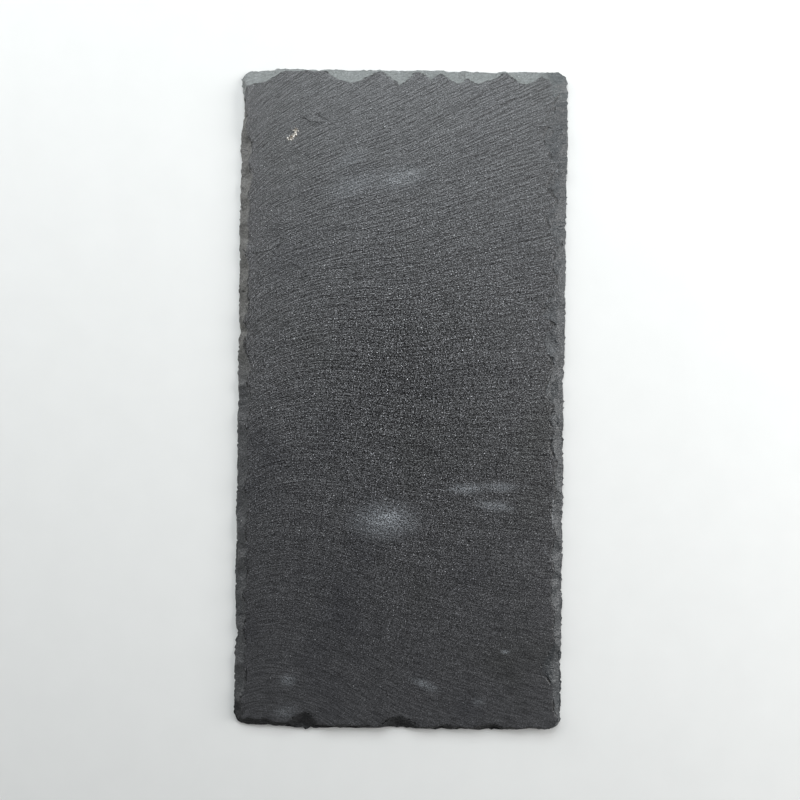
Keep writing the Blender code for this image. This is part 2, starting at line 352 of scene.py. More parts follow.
def stepped(depth, height, grain_and_glint_strength):
    """depth - sharpness (height / 2 pi) sin(2 pi depth / height)."""
    wave = 2 * math.pi * depth / height
    return depth - grain_and_glint_strength * height / (2 * math.pi) * np.sin(wave)


def scar_depth(x, y):
    """The deepest of all bevels and flakes at each point, broken into ledges."""
    for seed, (far, wave) in enumerate(SCAR_WANDER):
        x = x + far * smooth_noise(x / wave, y / wave, 6 + 100 * seed)
        y = y + far * smooth_noise(x / wave, y / wave, 7 + 100 * seed)
    depth = np.zeros_like(x)
    for side, flakes in FLAKES.items():
        s, t = side_place(x, y, side)
        bevel = np.clip(1 - t / (BEVEL_REACH[side] * MM), 0, 1)
        depth = np.maximum(depth, BEVEL_DROP * MM * bevel)
        for flake in flakes:
            depth = np.maximum(depth, flake_depth(s, t, flake))
    for corner, radius in CORNER_RADII.items():
        t = radius * (1 - np.hypot(*corner_place(x, y, corner)))
        fall = np.clip(1 - t / (CORNER_BEVEL * MM), 0, DEEPEST_FALL)
        depth = np.maximum(depth, BEVEL_DROP * MM * fall)
    cut = np.clip(depth / LEDGES[0][0], 0, 1)
    depth = depth + LEDGE_STRAYS * cut * smooth_noise(x / LEDGE_WAVE, y / LEDGE_WAVE, 5)
    for height, grain_and_glint_strength in LEDGES:
        depth = stepped(depth, height, cut * grain_and_glint_strength)
    for seed, (high, wave) in enumerate(CHIP_ROUGH, 60):
        depth = depth + high * cut * smooth_noise(x / wave, y / wave, seed)
    rim = RIM_HEIGHT + RIM_VARIES * smooth_noise(x / RIM_WAVE, y / RIM_WAVE, 8)
    return np.clip(depth, 0, THICKNESS - rim)


probe = scar_depth(np.array([-WIDTH / 2, 0.0]), np.array([0.0, 0.0]))
print("depth at the left side and in the middle, mm:", (probe / MM).round(2))

# %% [markdown]
# ## The riven face
# The face was split, not cut, and split slate shows the folds that it was pressed
# into: fine ripples, close together, that fan out towards both ends and ride over an
# arch near the left side. Instead of bending the ripples, the code bends the paper: a
# second coordinate stays the same all along a crest, and plain noise, stretched along
# that coordinate, does the rest.

# %% Coordinates that follow the ripples
FAN_LINE = -27 * MM
FAN_RATE = 3.2
FAN_SPREAD = -8.0
Fold = namedtuple("Fold", "place half_width height")
ARCH = Fold(-39 * MM, 30 * MM, 6.3 * MM)
ARCH_END = 68 * MM  # the arch dies out beyond this
ARCH_FADE = 14 * MM
TROUGH = Fold(2.6 * MM, 13 * MM, -1.1 * MM)
EDGE_LIFT = 13 * MM
EDGE_LIFT_REACH = 8 * MM


def fold_height(x, y):
    """height exp(-((x - place) / half_width)2) for each fold, and a fall at the left."""
    arch = ARCH.height * np.exp(-(((x - ARCH.place) / ARCH.half_width) ** 2))
    arch = arch / (1 + np.exp((y - ARCH_END) / ARCH_FADE))
    trough = TROUGH.height * np.exp(-(((x - TROUGH.place) / TROUGH.half_width) ** 2))
    return arch + trough - EDGE_LIFT * np.exp(-(x + WIDTH / 2) / EDGE_LIFT_REACH)


def ripple_lines(x, y):
    """Along a crest, x. From crest to crest, (y - line - fold) / exp(rate x + spread x2 / 2).

    Away from the folds, a crest's slope is then (y - line)(rate + spread x).
    """
    lifted = y - FAN_LINE - fold_height(x, y)
    return x, lifted * np.exp(-FAN_RATE * x - FAN_SPREAD * x * x / 2)


crest_line = ripple_lines(np.array([0.0, 0.0]), np.array([0.10, -0.10]))[1]
print("a crest 100 mm above and below the middle, mm:", (crest_line / MM).round(1))

# %% Swells, ripples and the pocket
SWELL_SPACING = 55 * MM
SWELL_HEIGHT = 0.5 * MM
RIPPLE_STRAYS = 0.6
STRAY_WAVE = (19 * MM, 31 * MM)
RELIEF_FADE = 1.5 * MM  # a scar this deep has nothing of the face's relief left
POCKET_PLACE = (-50.0 * MM, 118.7 * MM)
POCKET_HALF_LENGTH = 3.4 * MM
POCKET_HALF_WIDTH = 1.7 * MM
POCKET_TURN = 58
POCKET_DEPTH = 0.6 * MM

# Length along the crest, spacing across it, height and seed of each size of ripple.
RIPPLES = (
    (26 * MM, 6.5 * MM, 0.20 * MM, 3),
    (12 * MM, 2.7 * MM, 0.11 * MM, 31),
    (6.5 * MM, 1.35 * MM, 0.085 * MM, 32),
)


def pocket_place(x, y):
    """Along and across the pocket, each 1 at its rim."""
    x, y = x - POCKET_PLACE[0], y - POCKET_PLACE[1]
    cos, sin = math.cos(math.radians(POCKET_TURN)), math.sin(math.radians(POCKET_TURN))
    along = (x * cos + y * sin) / POCKET_HALF_LENGTH
    return along, (y * cos - x * sin) / POCKET_HALF_WIDTH


def riven_relief(x, y):
    """The height of the cleavage face above its mean plane."""
    crest, step = ripple_lines(x, y)
    relief = SWELL_HEIGHT / 2 * smooth_noise(x / SWELL_SPACING, y / SWELL_SPACING, 1)
    stray = RIPPLE_STRAYS * smooth_noise(crest / STRAY_WAVE[0], step / STRAY_WAVE[1], 2)
    for length, spacing, height, seed in RIPPLES:
        relief += height / 2 * smooth_noise(crest / length, step / spacing + stray, seed)
    along, across = pocket_place(x, y)
    return relief - POCKET_DEPTH * np.clip(1 - along**2 - across**2, 0, 1)


def face_height(x, y):
    """The upper surface: the riven face, cut down by the scars at the sides."""
    depth = scar_depth(x, y)
    kept = np.clip(1 - depth / RELIEF_FADE, 0, 1)
    return THICKNESS - depth + riven_relief(x, y) * kept


line = riven_relief(np.zeros(200), np.linspace(-0.1, 0.1, 200)) / MM
print(f"relief along the middle: {line.min():.2f} to {line.max():.2f} mm")

# %% [markdown]
# ## The sheet, the broken edge and the underside
# The slab is one closed skin in three parts. The upper sheet carries the detail, so it
# gets most of the points. The rim of that sheet is carried down to the underside in
# rows, each pushed in or out as the layers broke. The underside is a coarser sheet,
# with every second column and row, because it is smoother and mostly hidden: a band of
# three triangles to each of its edges joins the fine rim to the coarse one.

# %% The upper sheet
COLUMNS = 130
ROWS = 560
across, along = np.meshgrid(np.linspace(-1, 1, COLUMNS + 1), np.linspace(-1, 1, ROWS + 1))


def laid_out(across, along, inset=0.0):
    """Shares from -1 to 1 become x and y on the slab, standing in by inset."""
    x = crowded(across, CROWDING_ACROSS) * (WIDTH / 2 - inset)
    y = crowded(along, CROWDING_ALONG) * (LENGTH / 2 - inset)
    x, y = round_corners(x, y)
    return ragged_outline(x, y)


top_x, top_y = laid_out(across, along)
top_z = face_height(top_x, top_y)
top = np.stack([top_x, top_y, top_z], axis=-1).reshape(-1, 3)
print(f"upper sheet: {len(top)} points, up to {top_z.max() / MM:.2f} mm high")


# %% Number grids: the faces of a sheet, and the ring around it
def sheet_faces(columns, rows, first=0):
    """Four corner numbers of each face of a grid whose first point has this number."""
    start = first + np.arange(rows)[:, None] * (columns + 1) + np.arange(columns)[None, :]
    corners = [start, start + 1, start + columns + 2, start + columns + 1]
    return np.stack(corners, axis=-1).reshape(-1, 4)


def sheet_rim(columns, rows, first=0):
    """The numbers of a grid's outer points, counter-clockwise from its low corner."""
    wide = columns + 1
    near = np.arange(columns)
    right = columns + wide * np.arange(rows)
    far = rows * wide + columns - np.arange(columns)
    left = wide * (rows - np.arange(rows))
    return first + np.concatenate([near, right, far, left])


top_faces = sheet_faces(COLUMNS, ROWS)
top_rim = sheet_rim(COLUMNS, ROWS)
print(f"{len(top_faces)} faces, {len(top_rim)} points around the rim")

# %% The underside's own relief
UNDER_RELIEF = 0.22 * MM
UNDER_SPACING = (17 * MM, 7 * MM)
UNDER_MIDDLE = 0.45
UNDER_BROAD = 0.5
UNDER_FINE = 0.25
UNDERCUT = 0.3 * MM


def under_height(x, y):
    """relief (middle + noise), never below the surface that the slab rests on."""
    crest, step = ripple_lines(x, y)
    broad = smooth_noise(x / SWELL_SPACING, y / SWELL_SPACING, 41)
    fine = smooth_noise(crest / UNDER_SPACING[0], step / UNDER_SPACING[1], 42)
    share = UNDER_MIDDLE + UNDER_BROAD * broad + UNDER_FINE * fine
    return UNDER_RELIEF * np.clip(share, 0, 1)


print(f"the underside stands up to {UNDER_RELIEF / MM:.2f} mm clear")

# %% The broken edge, in rows from the rim down
EDGE_ROWS = 5
EDGE_LAYERS = (0.30 * MM, 0.16 * MM)  # how far broken layers stand out, long and short
EDGE_WAVES = (6 * MM, 1.7 * MM)

rim = top[top_rim]
step_along = np.linalg.norm(rim - np.roll(rim, 1, axis=0), axis=1)
rim_s = np.cumsum(step_along)
outward = np.roll(rim, -1, axis=0)[:, :2] - np.roll(rim, 1, axis=0)[:, :2]
outward = np.stack([outward[:, 1], -outward[:, 0]], axis=1)
outward /= np.linalg.norm(outward, axis=1, keepdims=True)


def edge_row(row):
    """One ring of the edge: the rim moved in by undercut and layer noise, and lowered."""
    share = row / EDGE_ROWS
    move = np.full(len(rim), UNDERCUT * share)
    for seed, (far, wave) in enumerate(zip(EDGE_LAYERS, EDGE_WAVES), 50):
        move += far * (0.5 + 0.5 * smooth_noise(rim_s / wave, rim_s * 0 + row * 0.8, seed))
    place = rim[:, :2] - outward * move[:, None]
    low = under_height(place[:, 0], place[:, 1])
    height = rim[:, 2] * (1 - share) + low * share
    return np.column_stack([place, height])


edge = np.concatenate([edge_row(row) for row in range(1, EDGE_ROWS + 1)])
print(f"broken edge: {EDGE_ROWS} rows of {len(rim)} points, {rim_s[-1]:.2f} m around")


# %% Faces between two rings of one size
def ring_faces(upper, lower):
    """Four corners of each face between two rings, facing away from the slab."""
    return np.stack([upper, lower, np.roll(lower, -1), np.roll(upper, -1)], axis=-1)


rings = [top_rim]
for row in range(EDGE_ROWS):
    rings.append(len(top) + row * len(rim) + np.arange(len(rim)))
edge_faces = np.concatenate([ring_faces(a, b) for a, b in zip(rings, rings[1:])])
print(len(edge_faces), "faces down the edge")

# %% The underside, and the band that joins it to the edge
UNDER_INSET = 1.6 * MM
under_x, under_y = laid_out(across[::2, ::2], along[::2, ::2], UNDER_INSET)
under_z = under_height(under_x, under_y)
under = np.stack([under_x, under_y, under_z], axis=-1).reshape(-1, 3)
first_under = len(top) + len(edge)
under_faces = sheet_faces(COLUMNS // 2, ROWS // 2, first_under)[:, ::-1]
under_rim = sheet_rim(COLUMNS // 2, ROWS // 2, first_under)
even, odd = rings[-1][0::2], rings[-1][1::2]
after, under_after = np.roll(even, -1), np.roll(under_rim, -1)
band = np.concatenate(
    [
        np.stack([even, under_rim, odd], axis=-1),
        np.stack([odd, under_rim, under_after], axis=-1),
        np.stack([odd, under_after, after], axis=-1),
    ]
)
print(f"underside: {len(under)} points, joined by {len(band)} triangles")

# %% [markdown]
# ## Into Blender
# The arrays go into a mesh with foreach_set, which copies a whole array at once. The
# mesh also carries what the material will need: a UV map that follows the ripples,
# so the grain can too, and a number that says how far into a scar each point lies.

# %% Build the mesh
points = np.concatenate([top, edge, under])
points = np.clip(points, np.array(cad_box[0]), np.array(cad_box[1]))
quads = np.concatenate([top_faces, edge_faces, under_faces])
corners = np.concatenate([quads.ravel(), band.ravel()]).astype(np.int32)
sizes = np.concatenate([np.full(len(quads), 4), np.full(len(band), 3)])
starts = np.concatenate([[0], np.cumsum(sizes)[:-1]]).astype(np.int32)

mesh = bpy.data.meshes.new("slate")
mesh.vertices.add(len(points))
mesh.vertices.foreach_set("co", points.astype(np.float32).ravel())
mesh.loops.add(len(corners))
mesh.loops.foreach_set("vertex_index", corners)
mesh.polygons.add(len(sizes))
mesh.polygons.foreach_set("loop_start", starts)
mesh.update(calc_edges=True)
mesh.validate()
slate = bpy.data.objects.new("slate", mesh)
bpy.context.scene.collection.objects.link(slate)
print(f"{len(points)} points, {2 * len(quads) + len(band)} triangles")

# %% Soften the light across the faces, but keep the ledges crisp
LEDGE_ANGLE = 38
mesh.shade_smooth()
mesh.set_sharp_from_angle(angle=math.radians(LEDGE_ANGLE))
print("ledges stay crisp above", LEDGE_ANGLE, "degrees")

# %% The grain's own map, in millimetres: along the ripples and across them
EDGE_GRAIN = 2  # down the broken edge the grain is this many times finer
crest, step = ripple_lines(points[:, 0], points[:, 1])
crest[len(top) : first_under] = np.tile(rim_s, EDGE_ROWS)
step[len(top) : first_under] = edge[:, 2] * EDGE_GRAIN
grain_map = mesh.uv_layers.new(name="grain")
flat = np.stack([crest, step], axis=-1)[corners] / MM
grain_map.data.foreach_set("uv", flat.astype(np.float32).ravel())
print(f"the grain map spans {np.ptp(flat[:, 0]):.0f} by {np.ptp(flat[:, 1]):.0f} mm")

# %% How scarred each point is
SCARRED = 0.3 * MM  # a scar this deep shows nothing of the face any more
scarred = np.ones(len(points))
scarred[: len(top)] = np.clip(scar_depth(top[:, 0], top[:, 1]) / SCARRED, 0, 1)
scarred[first_under:] = 0
scar = mesh.attributes.new("scar", "FLOAT", "POINT")
scar.data.foreach_set("value", scarred.astype(np.float32))
print(f"{(scarred > 0.5).mean():.0%} of the points lie in scars or on the edge")

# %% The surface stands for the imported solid
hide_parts("slate_slab")
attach(slate, "root")
print(slate.name, "stands for the solid")


# %% [markdown]
# ## Helpers for materials
# Colours are written as the hex codes that a screen shows. Light adds up in linear
# values, so one function turns them. A second function adds a node with its settings
# and its links, which keeps each material a list of plain steps, read from top to
# bottom like a recipe. Sockets go by name or by number. In a Map Range, 0 is the value,
# 1 and 2 are where it comes from, and 3 and 4 where it goes, which is 0 to 1 unless
# they are given. In a Mix of colours, 0 is the share, 6 and 7 are the two colours, and
# output 2 is the mixed one.


# %% Colours and nodes
def linear(code):
    """c / 12.92 for dark values, and ((c + 0.055) / 1.055)^2.4 for the rest."""
    shown = [int(code[i : i + 2], 16) / 255 for i in (1, 3, 5)]
    return [c / 12.92 if c <= 0.04045 else ((c + 0.055) / 1.055) ** 2.4 for c in shown] + [1]


def add(kind, inputs, output=0, **settings):
    """Adds one node to the tree and returns one of its outputs.

    An input is a plain value, a hex colour, or the output of another node to link.
    """
    node = tree.nodes.new("ShaderNode" + kind)
    for name, value in settings.items():
        setattr(node, name, value)
    for socket, value in inputs.items():
        if isinstance(value, bpy.types.NodeSocket):
            tree.links.new(value, node.inputs[socket])
        else:
            node.inputs[socket].default_value = linear(value) if isinstance(value, str) else value
    return node.outputs[output]


print("a mid grey #808080 is", round(linear("#808080")[0], 3), "in linear light")

# %% [markdown]
# ## Riven slate
# Slate is a fine-grained silicate, so its IOR is near 1.55. Its face was split along
# the cleavage, not polished, and the mica that lies flat in it gives a dull sheen that
# grows towards the light. In the Principled shader that is a broad gloss, and further
# on a specular level a little above that of plain stone.

# %% Start the material: the gloss of split slate
SLATE_ROUGHNESS = 0.5
SLATE_IOR = 1.55
MICA_SHEEN = 0.85  # 0.5 is plain stone
stone = bpy.data.materials.new("riven slate")
stone.use_nodes = True
tree = stone.node_tree
shader = tree.nodes["Principled BSDF"]
shader.inputs["Roughness"].default_value = SLATE_ROUGHNESS
shader.inputs["IOR"].default_value = SLATE_IOR
shader.inputs["Specular IOR Level"].default_value = MICA_SHEEN
mesh.materials.append(stone)
print("material:", stone.name)

# %% [markdown]
# ## Where a pattern lies
# The grain runs with the ripples, so it reads the map that was made for it. What goes
# across the whole slab, such as a change of tint, reads the slab's own coordinates,
# turned to millimetres so that every scale below is a real size.

# %% Two sets of coordinates, and how scarred the stone is
PER_MM = (1 / MM, 1 / MM, 1 / MM)
along_grain = add("UVMap", {}, "UV", uv_map="grain")
on_slab = add("TexCoord", {}, "Object")
in_mm = add("Mapping", {"Vector": on_slab, "Scale": PER_MM})
place_x = add("SeparateXYZ", {0: in_mm}, "X")
place_y = add("SeparateXYZ", {0: in_mm}, "Y")
scar_mask = add("Attribute", {}, "Fac", attribute_name="scar")
print("nodes so far:", len(tree.nodes))

# %% [markdown]
# ## Patterns
# All of the stone's patterns are noise, and they differ in the size of their cells and
# in the coordinates that they read. The grains of slate are under 0.1 mm, but here they
# are drawn at about 0.5 by 0.3 mm, or they wouldn't show. Noise with no finer detail is
# used for them, because a second octave would be finer than anything that shows.

# %% Every noise, with the length, width and height of its cells in millimetres
Pattern = namedtuple("Pattern", "map cells detail")
PATTERNS = {
    "grains": Pattern(along_grain, (0.55, 0.27, 1), 0),
    "lines": Pattern(along_grain, (6, 0.8, 1), 1),
    "streaks": Pattern(along_grain, (13, 1.5, 1), 1),
    "tint": Pattern(in_mm, (45, 45, 45), 2),
    "layers": Pattern(in_mm, (5, 5, 0.22), 2),
    "sugar": Pattern(in_mm, (1.1, 0.8, 0.8), 1),
    "breaks": Pattern(in_mm, (3.2, 4.5, 3), 1),
    "wander": Pattern(in_mm, (2.6, 2.6, 2.6), 2),
    "powder": Pattern(in_mm, (0.6, 0.42, 1), 0),
}
noise = {}
for name, pattern in PATTERNS.items():
    cells = add("Mapping", {"Vector": pattern.map, "Scale": [1 / size for size in pattern.cells]})
    noise[name] = add("TexNoise", {"Vector": cells, "Scale": 1.0, "Detail": pattern.detail})
print("patterns:", ", ".join(noise))

# %% [markdown]
# ## How strongly the grain shows
# The grain's pale specks are partly painted glints, so they are strongest in the middle of the face, where
# the sheen of the windows catches them, and fade towards the ends. The fine ripples are smoother towards the
# near end, where it was rubbed. On the scars the grain fades a little, because the break runs across the
# layers. These are soft masks: a distance from a middle, which is 1 at the reach, and a ramp along the slab.

# %% Masks for the grain and for the fine ripples
GRAIN_MIDDLE = (0, 10)
GRAIN_REACH = (170, 185)
GRAIN_FADE = (0.05, 0.9)  # shares of the reach between which the grain fades
LEAST_GRAIN = 0.22
SCAR_GRAIN = 0.85
LINED = (-110, 60)  # the fine ripples grow from the first place to the second
LEAST_LINED = 0.25
offset = []
for place, middle, reach in zip((place_x, place_y), GRAIN_MIDDLE, GRAIN_REACH):
    offset.append(add("MapRange", {0: place, 1: middle, 2: middle + reach}, clamp=False))
offset = add("CombineXYZ", dict(enumerate(offset)))
away = add("VectorMath", {0: offset}, "Value", operation="LENGTH")
# painted glints: the specks' contrast is strongest in the middle, where the sheen catches the grains
grain_and_glint_strength = add("MapRange", {0: away, 1: GRAIN_FADE[0], 2: GRAIN_FADE[1], 3: 1.0, 4: LEAST_GRAIN})
on_face = add("MapRange", {0: scar_mask, 3: 1.0, 4: SCAR_GRAIN})
grain_and_glint_strength = add("Math", {0: grain_and_glint_strength, 1: on_face}, operation="MULTIPLY")
lined = add("MapRange", {0: place_y, 1: LINED[0], 2: LINED[1], 3: LEAST_LINED, 4: 1.0})
lined = add("Math", {0: lined, 1: on_face}, operation="MULTIPLY")
print(f"the grain fades out to {GRAIN_FADE[1] * GRAIN_REACH[1]:.0f} mm from its middle")

# %% [markdown]
# ## Cracks with painted shade, bright streaks with painted highlights, and chalk
# Some marks are one of a kind: a crack where a flake nearly came off, cut in by the bump and painted dark as
# the shade inside it; a bright streak where a ledge catches the light, which is a painted highlight; and the
# chalky scuffs that handling left. Each is an ellipse with a place, a size and a turn, and a Mapping node of
# type TEXTURE turns the slab's coordinates to the ellipse's own, where its rim is 1 from the middle. It is
# centred on the face and reaches one thickness down, so no mark shows through on the underside. Shifting the
# coordinates with noise first makes every mark as irregular as the stone.

# %% Lists of marks, in millimetres and degrees
Mark = namedtuple("Mark", "x y half_length half_width turn strength")
CRACKS = (
    Mark(68.8, 136.6, 5.4, 0.6, 62, 0.9),
    Mark(65.3, 129.8, 2.8, 0.4, 64, 0.6),
    Mark(66.6, 101, 5, 0.6, 59, 0.6),
    Mark(67.3, 97, 5, 2.1, 90, 0.3),
    Mark(72.1, 71, 2.1, 0.7, 90, 0.9),
    Mark(65, 41.7, 4.8, 0.5, 50, 0.7),
    Mark(67.1, 17, 1.9, 0.8, -44, 0.8),
    Mark(69.9, 9, 4.3, 0.5, 43, 0.6),
    Mark(67.1, 1.2, 3.5, 1.7, 66, 0.4),
    Mark(-71.9, 130.6, 5, 0.5, -84, 0.8),
    Mark(-72.1, 112.3, 1.9, 0.5, -33, 0.8),
    Mark(-69.3, 102.2, 1.9, 0.7, 90, 0.8),
    Mark(-73.2, 94.3, 1.2, 0.7, 90, 0.7),
    Mark(-69.3, 82.4, 5.5, 0.4, 83, 0.6),
    Mark(-71.5, 65.9, 2.2, 0.5, -44, 0.9),
    Mark(-72.2, 48, 1, 0.7, 90, 0.7),
    Mark(-70.6, 40.5, 2.6, 0.6, -60, 0.6),
    Mark(-71, 24, 4.4, 1, 90, 0.9),
    Mark(-68.3, -125, 4.8, 0.4, 90, 0.7),
    Mark(-45.7, 126, 0.8, 0.4, 27, 0.9),
    Mark(-43.7, 125.3, 2.1, 0.4, -29, 0.9),
    Mark(-40.3, 124.3, 2.1, 0.4, -3, 0.8),
    Mark(-38.3, 127.4, 1.9, 0.35, -44, 0.8),
    Mark(-35.8, 125.8, 1.7, 0.35, -18, 0.7),
    Mark(44.6, 133.4, 2.3, 0.4, 7, 0.7),
    Mark(48.6, 135, 2.7, 0.4, 34, 0.7),
    Mark(-65.2, 65.1, 4.8, 0.4, 6, 0.6),
    Mark(-62.4, -21.4, 6.1, 0.35, -38, 0.4),
    Mark(60.9, 123.4, 1.9, 0.4, 1, 0.6),
)
# painted highlights: bright streaks where ledges catch the light
PAINTED_HIGHLIGHT_STREAKS = (
    Mark(70.8, 122.6, 3, 0.4, -41, 0.4),
    Mark(65.8, 110.2, 4, 1.2, -52, 0.25),
    Mark(69, 103.7, 0.8, 0.6, 90, 0.7),
    Mark(70.7, 40.4, 3.7, 0.6, -58, 0.3),
    Mark(67.1, 22.8, 4.6, 3.2, -86, 0.16),
    Mark(69.6, 16.8, 4.5, 0.5, -40, 0.6),
    Mark(65.9, 5.9, 2.4, 0.5, 59, 0.45),
    Mark(69.5, -6.7, 4.9, 0.4, 62, 0.35),
    Mark(71.5, -7.3, 4, 0.4, 66, 0.3),
    Mark(69.1, -50, 15, 0.4, 90, 0.45),
    Mark(65.9, -68.4, 3.3, 0.6, -47, 0.35),
    Mark(14.8, -141.6, 1.6, 0.4, -44, 0.4),
    Mark(-13.2, -24.8, 1.2, 0.35, 20, 1.0),
)
SCUFFS = (
    Mark(-6.5, -54.5, 22, 12, 0, 0.65),
    Mark(-5, -53.5, 12, 5.5, 4, 1.0),
    Mark(30.3, -40.0, 12, 3.6, 2, 0.7),
    Mark(45.1, -39.0, 11, 3.2, 0, 0.6),
    Mark(42.8, -47.5, 13, 3.6, -6, 0.5),
    Mark(-1.7, 99.7, 18, 8, 14, 0.45),
    Mark(-21.9, 96.3, 20, 7, 20, 0.35),
    Mark(-24.3, 108, 12, 5, 26, 0.25),
    Mark(12.4, -128.6, 10, 3, -22, 0.5),
    Mark(-49.4, -127.1, 6, 4, 0, 0.45),
    Mark(48.3, -113.2, 3.2, 1.6, 0, 0.6),
    Mark(-50.6, -141.5, 8, 5, 10, 0.3),
    Mark(36.4, -136, 5, 3, 10, 0.25),
)
print(f"{len(CRACKS)} cracks, {len(PAINTED_HIGHLIGHT_STREAKS)} streaks, {len(SCUFFS)} scuffs")

# %% Turn each list into one mask
MARK_SHIFT = 0.8  # mm, how far the noise may push a mark's outline
wander = noise["wander"].node.outputs["Color"]
shift = add("VectorMath", {0: wander, 1: (0.5, 0.5, 0.5)}, operation="SUBTRACT")
shift = add("VectorMath", {0: shift, "Scale": MARK_SHIFT}, operation="SCALE")
shifted = add("VectorMath", {0: in_mm, 1: shift}, operation="ADD")


def marked(marks, solid):
    """The strongest of all marks: each fades as 3f2 - 2f3, from solid to its rim.

    That curve levels off by itself, so it isn't clamped: a clamp is one more node, and a
    shader with hundreds of nodes runs out of room.
    """
    strongest = 0.0
    for mark in marks:
        own = {
            "Vector": shifted,
            "Location": (mark.x, mark.y, THICKNESS / MM),
            "Rotation": (0, 0, math.radians(mark.turn)),
            "Scale": (mark.half_length, mark.half_width, THICKNESS / MM),
        }
        centred = add("Mapping", own, vector_type="TEXTURE")
        radius = add("VectorMath", {0: centred}, "Value", operation="LENGTH")
        fade = {0: radius, 1: solid, 2: 1.0, 3: mark.strength, 4: 0.0}
        patch = add("MapRange", fade, interpolation_type="SMOOTHSTEP", clamp=False)
        strongest = add("Math", {0: strongest, 1: patch}, operation="MAXIMUM")
    return strongest


# the cracks are cut in by the bump and painted dark as the shade in them
cracks_and_painted_shade = marked(CRACKS, solid=0.5)
streaks = marked(PAINTED_HIGHLIGHT_STREAKS, solid=0.3)
scuffs = marked(SCUFFS, solid=0.0)
print("nodes so far:", len(tree.nodes))

# %% [markdown]
# ## Broken rims
# Where a scar runs out on the face, the last thin layer often lifts or snaps off and leaves a step, here and
# there. Its shade is painted as a dark line, and the bump cuts it in. That is a narrow band of the scar mask,
# kept only where a noise is high.

# %% The painted shade at the inner rim of the scars
RIM_STARTS = (0.05, 0.3)  # shares of the scar mask
RIM_ENDS = (0.6, 0.95)
RIM_BREAKS = (0.48, 0.56)  # noise is 0.5 on average, so about half of the rim shows
rim_in = add("MapRange", {0: scar_mask, 1: RIM_STARTS[0], 2: RIM_STARTS[1]})
rim_out = add("MapRange", {0: scar_mask, 1: RIM_ENDS[0], 2: RIM_ENDS[1], 3: 1.0, 4: 0.0})
here = add("MapRange", {0: noise["breaks"], 1: RIM_BREAKS[0], 2: RIM_BREAKS[1]})
broken_rim_and_shade = add("Math", {0: rim_in, 1: rim_out}, operation="MULTIPLY")
broken_rim_and_shade = add("Math", {0: broken_rim_and_shade, 1: here}, operation="MULTIPLY")
cracks_and_painted_shade = add("Math", {0: cracks_and_painted_shade, 1: broken_rim_and_shade}, operation="MAXIMUM")
print("nodes so far:", len(tree.nodes))

# %% [markdown]
# ## The finest relief
# The mesh has the swells and the ripples. What is finer is a bump: short and long
# lines on the face, the edges of thin layers on the scars, and the cracks, cut in.
# A bump can't make platelets glitter, so each grain also tilts the normal its own way:
# the noise's colour, less one half, is added to the normal.

# %% The height for the bump, as shares of its full height
BUMP_HEIGHT = 0.6  # mm
BUMP_SHARES = {"lines": 0.6, "streaks": 0.5, "layers": 0.5, "sugar": 0.5, "cracks_and_painted_shade": -0.5}
lines = add("MapRange", {0: noise["lines"], 3: 0.0, 4: BUMP_SHARES["lines"]})
streaky = {0: noise["streaks"], 1: BUMP_SHARES["streaks"], 2: lines}
ripple_bump = add("Math", streaky, operation="MULTIPLY_ADD")
layer_bump = add("Math", {0: noise["layers"], 1: BUMP_SHARES["layers"]}, operation="MULTIPLY")
sugary = {0: noise["sugar"], 1: BUMP_SHARES["sugar"], 2: layer_bump}
layer_bump = add("Math", sugary, operation="MULTIPLY_ADD")
layer_bump = add("Math", {0: layer_bump, 1: scar_mask}, operation="MULTIPLY")
height = add("Math", {0: ripple_bump, 1: lined, 2: layer_bump}, operation="MULTIPLY_ADD")
height = add("Math", {0: cracks_and_painted_shade, 1: BUMP_SHARES["cracks_and_painted_shade"], 2: height}, operation="MULTIPLY_ADD")
bump = add("Bump", {"Height": height, "Strength": 1.0, "Distance": BUMP_HEIGHT * MM}, "Normal")
print(f"a crack is cut {-BUMP_SHARES['cracks_and_painted_shade'] * BUMP_HEIGHT} mm into the shading")

# %% The tilt of each grain
GRAIN_TILT = 1.3
grain_colour = noise["grains"].node.outputs["Color"]
lean = add("VectorMath", {0: grain_colour, 1: (0.5, 0.5, 0.5)}, operation="SUBTRACT")
amount = add("Math", {0: grain_and_glint_strength, 1: GRAIN_TILT}, operation="MULTIPLY")
lean = add("VectorMath", {0: lean, "Scale": amount}, operation="SCALE")
normal = add("VectorMath", {0: bump, 1: lean}, operation="ADD")
normal = add("VectorMath", {0: normal}, operation="NORMALIZE")
tree.links.new(normal, shader.inputs["Normal"])
print("nodes so far:", len(tree.nodes))

# %% [markdown]
# ## Colour
# The colour is built up like glazes, one Mix node over the last. A table holds each glaze: its colour, where
# it lies and how it mixes. Under them all is the grain: most of its specks are dark and a few are far paler,
# and the pale ones are partly painted glints, standing in for platelets that catch the sheen. Noise alone
# gives as many pale as dark, all near the middle, so a grain's colour is the ground's times e^(contrast *
# (noise - 0.5)), which spreads the pale ones out. Where the grain fades, so does the contrast, and the ground
# goes from nearly black to a plain grey.

# %% The grain's light and dark
GRAIN_CONTRAST = 13.0
LINE_NOISE = (0.35, 0.65)
fine_lines = add("MapRange", {0: noise["lines"], 1: LINE_NOISE[0], 2: LINE_NOISE[1]})
plain = add("Mix", {0: fine_lines, 6: "#2F2F31", 7: "#464648"}, 2, data_type="RGBA")
ground = add("Mix", {0: grain_and_glint_strength, 6: plain, 7: "#181819"}, 2, data_type="RGBA")
# painted glints: the pale tail of the specks stands in for grains catching the sheen
contrast = add("Math", {0: grain_and_glint_strength, 1: GRAIN_CONTRAST}, operation="MULTIPLY")
grain_shade = add("SeparateColor", {0: grain_colour}, "Blue")
speck = add("Math", {0: grain_shade, 1: 0.5}, operation="SUBTRACT")
speck = add("Math", {0: speck, 1: contrast}, operation="MULTIPLY")
speck = add("Math", {0: speck}, operation="EXPONENT")
colour = add("VectorMath", {0: ground, "Scale": speck}, operation="SCALE")
print(f"a grain 0.2 above the middle is {math.exp(0.2 * GRAIN_CONTRAST):.1f} times as bright")

